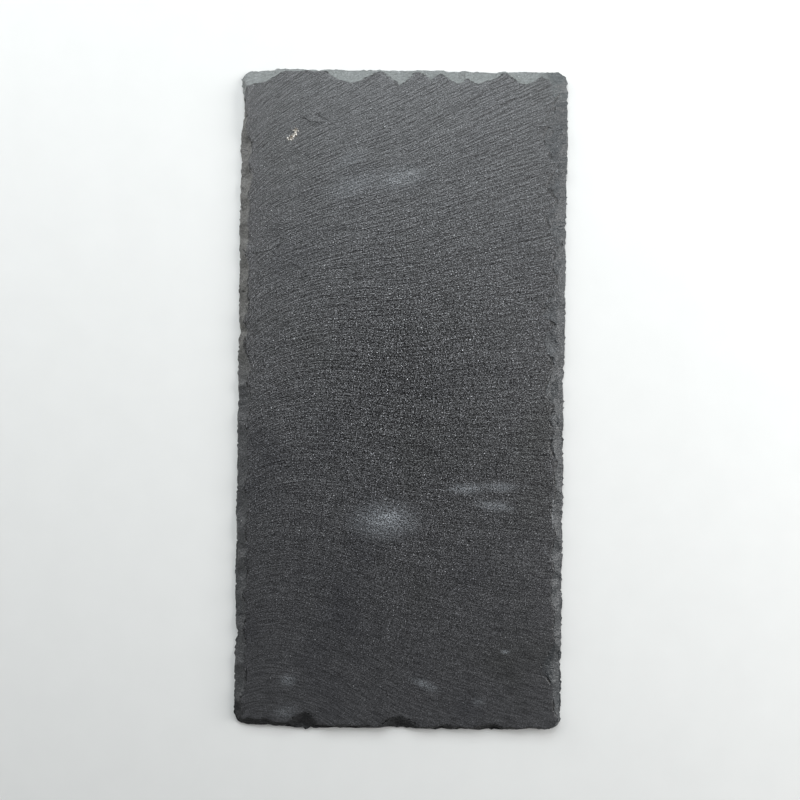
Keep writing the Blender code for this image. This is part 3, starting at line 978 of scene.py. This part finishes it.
# %% Where the scars stand out from the face most: at both ends, and far along the left
LEFT_BAND = (-64, -67)
FAR_HALF = (-5, 30)
ENDS = (132, 138)
LEAST_DISTINCT = 0.6
at_left = add("MapRange", {0: place_x, 1: LEFT_BAND[0], 2: LEFT_BAND[1]})
beyond = add("MapRange", {0: place_y, 1: FAR_HALF[0], 2: FAR_HALF[1]})
left_far = add("Math", {0: at_left, 1: beyond}, operation="MULTIPLY")
to_end = add("Math", {0: place_y}, operation="ABSOLUTE")
at_ends = add("MapRange", {0: to_end, 1: ENDS[0], 2: ENDS[1]})
distinct = add("Math", {0: left_far, 1: at_ends}, operation="MAXIMUM")
distinct = add("MapRange", {0: distinct, 3: LEAST_DISTINCT, 4: 1.0})
broken_share = add("Math", {0: scar_mask, 1: distinct}, operation="MULTIPLY")
print("nodes so far:", len(tree.nodes))

# %% [markdown]
# A broken side shows the edges of the layers. The left and right sides have tints of their own, warm and
# bluish. The far side is painted paler, a painted highlight where it faces the window, and the near side is
# painted darker, painted shade where it faces away. Each is faded in over 2 to 10 mm. Over them all lies the
# sugar, the fine speckle of a fresh break.

# %% The colours of the broken sides, with painted light at the far and near ends, each between an inner and an outer place
FAR_END = (134, 138)
NEAR_END = (-136, -139)
RIGHT_CORNERS = (60, 68)
CORNER_SHARE = 0.25
SUGAR_NOISE = (0.35, 0.68)
SUGAR_GREYS = (0.2, 0.8)
SUGAR_SHARE = 0.4
before_corner = {0: place_x, 1: RIGHT_CORNERS[0], 2: RIGHT_CORNERS[1], 3: 1.0, 4: CORNER_SHARE}
before_corner = add("MapRange", before_corner)
at_far = add("MapRange", {0: place_y, 1: FAR_END[0], 2: FAR_END[1]})
at_far = add("Math", {0: at_far, 1: before_corner}, operation="MULTIPLY")
at_near = add("MapRange", {0: place_y, 1: NEAR_END[0], 2: NEAR_END[1]})
at_near = add("Math", {0: at_near, 1: before_corner}, operation="MULTIPLY")
Side = namedtuple("Side", "place inner outer colour")
SIDE_TINTS_AND_PAINTED_LIGHT = {
    "right": Side(place_x, 54, 64, "#1F2529"),
    "left": Side(left_far, 0.2, 0.8, "#585754"),
    # painted highlight: the far side is paler where it faces the window
    "far": Side(at_far, 0, 1, "#6F7372"),
    # painted shade: the near side is darker where it faces away from the windows
    "near": Side(at_near, 0, 1, "#343435"),
}
broken = add("Mix", {0: noise["layers"], 6: "#38393B", 7: "#4C4D4E"}, 2, data_type="RGBA")
for side in SIDE_TINTS_AND_PAINTED_LIGHT.values():
    covered = add("MapRange", {0: side.place, 1: side.inner, 2: side.outer})
    broken = add("Mix", {0: covered, 6: broken, 7: side.colour}, 2, data_type="RGBA")
sugar = {0: noise["sugar"], 1: SUGAR_NOISE[0], 2: SUGAR_NOISE[1], 3: SUGAR_GREYS[0], 4: SUGAR_GREYS[1]}
sugar = add("MapRange", sugar)
sugared = {0: SUGAR_SHARE, 6: broken, 7: sugar}
broken = add("Mix", sugared, 2, data_type="RGBA", blend_type="OVERLAY")
print("tinted sides:", ", ".join(SIDE_TINTS_AND_PAINTED_LIGHT))

# %% [markdown]
# The sheen comes from mica that lies flat, so there is hardly any on the near bevel,
# where the layers are seen from their ends, or on the dark grains that stand on edge. A
# file format without such a map falls back on the one level set on the socket above.

# %% The sheen
BARE_SHEEN = 0.1
EDGE_ON = (0.40, 0.60)  # grains darker than the first have the least, paler than the second the most
no_sheen = add("Math", {0: at_near, 1: scar_mask}, operation="MULTIPLY")
edge_on = add("MapRange", {0: grain_shade, 1: EDGE_ON[0], 2: EDGE_ON[1], 3: 1.0, 4: 0.0})
edge_on = add("Math", {0: edge_on, 1: grain_and_glint_strength}, operation="MULTIPLY")
no_sheen = add("Math", {0: no_sheen, 1: edge_on}, operation="MAXIMUM")
sheen = add("MapRange", {0: no_sheen, 3: MICA_SHEEN, 4: BARE_SHEEN})
tree.links.new(sheen, shader.inputs["Specular IOR Level"])
print(f"specular level from {BARE_SHEEN} to {MICA_SHEEN}")

# %% [markdown]
# A few flakes of mica lie just so and flash, and the flash is a painted glint, a pale spot in the colour. A
# Voronoi texture puts one flake in each cell and gives each cell a random colour, whose red picks the few.
# Chalk and the painted highlights of the bright streaks catch on some grains and miss the next, so both are
# broken up with noise.

# %% Mica: painted glints
MICA_SPACING = 1.1  # mm
FLASH_RADIUS = (0.12, 0.26)  # shares of the spacing: full within the first, gone past the second
FLASHING = 0.96  # the red above which a flake flashes
mica = add("TexVoronoi", {"Vector": in_mm, "Scale": 1 / MICA_SPACING}).node
from_flake = mica.outputs["Distance"]
painted_glint = add("MapRange", {0: from_flake, 1: FLASH_RADIUS[0], 2: FLASH_RADIUS[1], 3: 1.0, 4: 0.0})
rarity = add("SeparateColor", {0: mica.outputs["Color"]}, "Red")
chosen = add("MapRange", {0: rarity, 1: FLASHING, 2: 1.0})
painted_glint = add("Math", {0: painted_glint, 1: chosen}, operation="MULTIPLY")
painted_glint = add("Math", {0: painted_glint, 1: grain_and_glint_strength}, operation="MULTIPLY")
print(f"{1 - FLASHING:.0%} of the flakes flash, some of them faintly")

# %% Chalk and the painted highlight streaks, broken up
POWDER = (0.42, 0.70)
powder = add("MapRange", {0: noise["powder"], 1: POWDER[0], 2: POWDER[1]})
chalk = add("Math", {0: scuffs, 1: powder}, operation="MULTIPLY")
streaks = add("Math", {0: streaks, 1: powder}, operation="MULTIPLY")
print("nodes so far:", len(tree.nodes))

# %% All the glazes
TINT_STRENGTH = 0.5
OLIVE_NOISE = (0.55, 0.75)  # high in the noise the slate is a trace olive, low in it violet
VIOLET_NOISE = (0.45, 0.28)
olive = {0: noise["tint"], 1: OLIVE_NOISE[0], 2: OLIVE_NOISE[1], 4: TINT_STRENGTH}
violet = {0: noise["tint"], 1: VIOLET_NOISE[0], 2: VIOLET_NOISE[1], 4: TINT_STRENGTH}
Glaze = namedtuple("Glaze", "colour share blend")
GLAZES = {
    "olive": Glaze("#7C7F74", add("MapRange", olive), "OVERLAY"),
    "violet": Glaze("#7B7C86", add("MapRange", violet), "OVERLAY"),
    "broken": Glaze(broken, broken_share, "MIX"),
    # painted highlight: the bright streaks where ledges catch the light
    "streaks": Glaze("#9EA2A6", streaks, "MIX"),
    "chalk": Glaze("#A4A9AE", chalk, "MIX"),
    # painted glint: pale spots where mica flakes flash
    "mica": Glaze("#E2E4E6", painted_glint, "MIX"),
    # painted shade: cracks and broken rims are painted near black where shade falls into them
    "cracks_and_painted_shade": Glaze("#0C0C0D", cracks_and_painted_shade, "MIX"),
}
for glaze in GLAZES.values():
    mixed = {0: glaze.share, 6: colour, 7: glaze.colour}
    colour = add("Mix", mixed, 2, data_type="RGBA", blend_type=glaze.blend)
tree.links.new(colour, shader.inputs["Base Color"])
print(f"{len(GLAZES)} glazes, {len(tree.nodes)} nodes")

# %% [markdown]
# ## A vein of crystals
# Near one corner a small vein of calcite breaks the face: a few dozen white and brown
# crystals, most of them under a millimetre across. Each is a superellipsoid, a ball
# whose sines and cosines are raised to a power. A power of 2 would make it an eight-sided
# double pyramid, and a little less keeps the faces nearly flat and blunts the points.
# All of them come from one array operation.

# %% Where the crystals sit, how large they are and how they are turned
CRYSTAL_COUNT = 54
CRYSTAL_RADIUS = (0.28 * MM, 0.62 * MM)
VEIN_REACH = 0.95  # the share of the pocket's length that the crystals line
VEIN_BEND = 0.35
BEND_SHIFT = 0.3  # keeps the bent vein in the middle of the pocket
VEIN_SPREAD = 0.38
TAPER = (1.1, 0.5)  # the size in the middle of the vein, and how much less it is at its ends
CRYSTAL_LIFT = (-0.2, 0.35)  # how far its middle is over the face, in its radii
VEIN_SEED = 12
shuffled = np.random.default_rng(VEIN_SEED)
along_vein = np.linspace(-VEIN_REACH, VEIN_REACH, CRYSTAL_COUNT)
bend = VEIN_BEND * (along_vein**2 - BEND_SHIFT)
across_vein = shuffled.normal(0, VEIN_SPREAD, CRYSTAL_COUNT) + bend
crystal_size = shuffled.uniform(*CRYSTAL_RADIUS, CRYSTAL_COUNT) * (TAPER[0] - TAPER[1] * along_vein**2)
turn = math.radians(POCKET_TURN)
u = along_vein * POCKET_HALF_LENGTH
v = across_vein * POCKET_HALF_WIDTH
crystal_x = POCKET_PLACE[0] + u * math.cos(turn) - v * math.sin(turn)
crystal_y = POCKET_PLACE[1] + u * math.sin(turn) + v * math.cos(turn)
lift = crystal_size * shuffled.uniform(*CRYSTAL_LIFT, CRYSTAL_COUNT)
crystal_z = face_height(crystal_x, crystal_y) + lift
print(f"{CRYSTAL_COUNT} crystals over {2 * POCKET_HALF_LENGTH / MM:.1f} mm of vein")

# %% One angular crystal, then all of them at once
CRYSTAL_SIDES = 8
CRYSTAL_BANDS = 5
CRYSTAL_POWER = 1.7


def signed_power(value, power):
    """|value|^power with the sign of value."""
    return np.sign(value) * np.abs(value) ** power


around = np.linspace(0, 2 * math.pi, CRYSTAL_SIDES, endpoint=False)
upward = np.linspace(-math.pi / 2, math.pi / 2, CRYSTAL_BANDS + 1)
around, upward = np.meshgrid(around, upward)
ring = signed_power(np.cos(upward), CRYSTAL_POWER)
unit = np.stack(
    [
        ring * signed_power(np.cos(around), CRYSTAL_POWER),
        ring * signed_power(np.sin(around), CRYSTAL_POWER),
        signed_power(np.sin(upward), CRYSTAL_POWER),
    ],
    axis=-1,
).reshape(-1, 3)
print(len(unit), "points in a crystal")

# %% Turn each crystal its own way: a product of three rotations, one stack of matrices
def turned(angles, axis):
    """Rotation matrices about one axis, for an array of angles."""
    cos, sin = np.cos(angles), np.sin(angles)
    matrices = np.zeros((len(angles), 3, 3))
    a, b = (axis + 1) % 3, (axis + 2) % 3
    matrices[:, axis, axis] = 1
    matrices[:, a, a] = matrices[:, b, b] = cos
    matrices[:, a, b], matrices[:, b, a] = -sin, sin
    return matrices


CRYSTAL_STRETCH = (0.7, 1.2)
angles = shuffled.uniform(0, 2 * math.pi, (3, CRYSTAL_COUNT))
spin = turned(angles[0], 0) @ turned(angles[1], 1) @ turned(angles[2], 2)
stretch = shuffled.uniform(*CRYSTAL_STRETCH, (CRYSTAL_COUNT, 1, 3))
crystals = np.einsum("gij,gpj->gpi", spin, unit[None] * stretch) * crystal_size[:, None, None]
crystals += np.stack([crystal_x, crystal_y, crystal_z], axis=-1)[:, None, :]
crystals[..., 2] = np.minimum(crystals[..., 2], cad_box[1][2])
print(f"the tallest crystal reaches {crystals[..., 2].max() / MM:.2f} mm")

# %% Faces: a tube of quads per crystal, whose end rings have no width
start = np.arange(CRYSTAL_BANDS)[:, None] * CRYSTAL_SIDES
side = np.arange(CRYSTAL_SIDES)[None, :]
after_side = (side + 1) % CRYSTAL_SIDES
quad = np.stack([start + side, start + after_side, start + CRYSTAL_SIDES + after_side], axis=-1)
quad = np.concatenate([quad, (start + CRYSTAL_SIDES + side)[..., None]], axis=-1).reshape(-1, 4)
crystal_faces = (quad[None] + (np.arange(CRYSTAL_COUNT) * len(unit))[:, None, None]).reshape(-1, 4)
vein_mesh = bpy.data.meshes.new("crystal_vein")
vein_mesh.from_pydata(crystals.reshape(-1, 3).tolist(), [], crystal_faces.tolist())
tone = vein_mesh.attributes.new("tone", "FLOAT", "POINT")
crystal_tone = np.repeat(shuffled.uniform(0, 1, CRYSTAL_COUNT), len(unit))
tone.data.foreach_set("value", crystal_tone.astype(np.float32))
print(len(crystal_faces), "faces before the ends are closed")

# %% Close the ends: points that share a place become one
POLE_GAP = 0.002 * MM
blank = bmesh.new()
blank.from_mesh(vein_mesh)
bmesh.ops.remove_doubles(blank, verts=blank.verts, dist=POLE_GAP)
bmesh.ops.recalc_face_normals(blank, faces=blank.faces)
blank.to_mesh(vein_mesh)
blank.free()
vein = bpy.data.objects.new("crystal_vein", vein_mesh)
bpy.context.scene.collection.objects.link(vein)
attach(vein, "root")
print(f"crystal vein: {len(vein_mesh.polygons)} faces")

# %% [markdown]
# ## Calcite
# Calcite is a clear to milky mineral with an IOR near 1.58 and flat, glassy faces.
# Crystals this small look opaque, so the colour carries them: off-white, with some
# stained brown by iron. Each crystal has one number of its own to pick a colour with.

# %% Calcite, clean and stained
CALCITE_ROUGHNESS = 0.28
CALCITE_IOR = 1.58
STAIN_SIZE = 0.5 * MM
STAINED = (0.18, 0.36)  # clean below the first, wholly stained above the second
calcite = bpy.data.materials.new("calcite grains")
calcite.use_nodes = True
tree = calcite.node_tree
shader = tree.nodes["Principled BSDF"]
shader.inputs["Roughness"].default_value = CALCITE_ROUGHNESS
shader.inputs["IOR"].default_value = CALCITE_IOR
own_tone = add("Attribute", {}, "Fac", attribute_name="tone")
on_slab = add("TexCoord", {}, "Object")
stains = add("TexNoise", {"Vector": on_slab, "Scale": 1 / STAIN_SIZE, "Detail": 2.0})
stain_share = add("Math", {0: own_tone, 1: stains}, operation="MULTIPLY")
stain_share = add("MapRange", {0: stain_share, 1: STAINED[0], 2: STAINED[1]})
stained = add("Mix", {0: stain_share, 6: "#E6E2DA", 7: "#62574A"}, 2, data_type="RGBA")
tree.links.new(stained, shader.inputs["Base Color"])
vein_mesh.materials.append(calcite)
print("material:", calcite.name)

# %% [markdown]
# ## The floor
# A plain pale board, large enough that its edge doesn't show from above. Its fibres
# are only a trace of unevenness, so that it doesn't look painted.

# %% Floor
FLOOR_SIZE = 6  # m
BOARD_ROUGHNESS = 0.8
FIBRE_SPACING = 1 / 60  # m
bpy.ops.mesh.primitive_plane_add(size=FLOOR_SIZE)
floor = bpy.context.object
floor.name = "floor"
board = bpy.data.materials.new("matt white board")
board.use_nodes = True
tree = board.node_tree
shader = tree.nodes["Principled BSDF"]
shader.inputs["Roughness"].default_value = BOARD_ROUGHNESS
fibres = add("TexNoise", {"Vector": add("TexCoord", {}, "Object"), "Scale": 1 / FIBRE_SPACING, "Detail": 3.0})
shade = add("Mix", {0: fibres, 6: "#E2E2E0", 7: "#E7E7E5"}, 2, data_type="RGBA")
tree.links.new(shade, shader.inputs["Base Color"])
floor.data.materials.append(board)
floor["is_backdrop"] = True
print("floor:", FLOOR_SIZE, "m")

# %% [markdown]
# ## Light
# A slab like this shows its ripples only when the light comes in at a slant. The main
# window stands beyond the far end, a second one is higher, and a pale wall on either
# side keeps the side scars from going black. Nothing stands at the near end, so the
# scars there stay dark. Area lights stand for all of them. Daylight is cooler than what
# a wall sends back, so the windows are a trace bluer.

# %% Windows and walls
Soft = namedtuple("Soft", "place width height watts colour")
SOFT_LIGHTS = {
    "window": Soft((-0.06, 0.90, 0.70), 0.9, 0.5, 9.6, "#F3F9FC"),
    "skylight": Soft((0.0, 0.55, 0.90), 0.8, 0.5, 2.3, "#F3F9FC"),
    "right wall": Soft((0.85, 0.10, 0.45), 0.6, 0.6, 9.2, "#FFFFFF"),
    "left wall": Soft((-0.85, 0.55, 0.45), 0.6, 0.6, 5.2, "#FFFFFF"),
}
for name, soft in SOFT_LIGHTS.items():
    lamp = bpy.data.lights.new(name, "AREA")
    lamp.shape = "RECTANGLE"
    lamp.size, lamp.size_y = soft.width, soft.height
    lamp.energy = soft.watts
    lamp.color = linear(soft.colour)[:3]
    holder = bpy.data.objects.new(name, lamp)
    holder.location = soft.place
    holder.rotation_euler = (-Vector(soft.place)).to_track_quat("-Z", "Y").to_euler()
    bpy.context.scene.collection.objects.link(holder)
print("soft lights:", ", ".join(SOFT_LIGHTS))

# %% The rest of the room, and colours shown as they are
ROOM_LIGHT = 0.03
room = bpy.data.worlds.new("room")
room.use_nodes = True
room.node_tree.nodes["Background"].inputs["Color"].default_value = linear("#F4F5F7")
room.node_tree.nodes["Background"].inputs["Strength"].default_value = ROOM_LIGHT
bpy.context.scene.world = room
bpy.context.scene.view_settings.view_transform = "Standard"
print("room light:", ROOM_LIGHT)

# %% [markdown]
# ## Camera
# The camera hangs straight above the slab and looks down. Its focal length is given in
# pixels of an 800-pixel frame, which is how it is found from a known length at a known
# distance, and turned to millimetres of the sensor.

# %% Camera
CAMERA_PLACE = (-0.45 * MM, -0.33 * MM, 275.7 * MM)
CAMERA_ROLL = 0.7
FOCAL_PIXELS = 601
FRAME_PIXELS = 800
SENSOR_WIDTH = 36  # mm
NEAREST = 0.01  # m, nothing nearer to the camera is shown
camera_data = bpy.data.cameras.new("camera")
camera_data.sensor_width = SENSOR_WIDTH
camera_data.lens = SENSOR_WIDTH * FOCAL_PIXELS / FRAME_PIXELS
camera_data.clip_start = NEAREST
camera = bpy.data.objects.new("camera", camera_data)
camera.location = CAMERA_PLACE
camera.rotation_euler = (0, 0, math.radians(CAMERA_ROLL))
bpy.context.scene.collection.objects.link(camera)
bpy.context.scene.camera = camera
print(f"lens: {camera_data.lens:.1f} mm")

# %% [markdown]
# ## Sizes, and the end
# Both boxes are measured, and how far the finished slab stands out of the imported solid is printed.
# The finish may not grow the slab.

# %% Compare the two boxes
new_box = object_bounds()
growth = [round((b - a) / MM, 2) for a, b in zip(cad_box[1], new_box[1])]
print("the finish stands out by, mm:", growth)
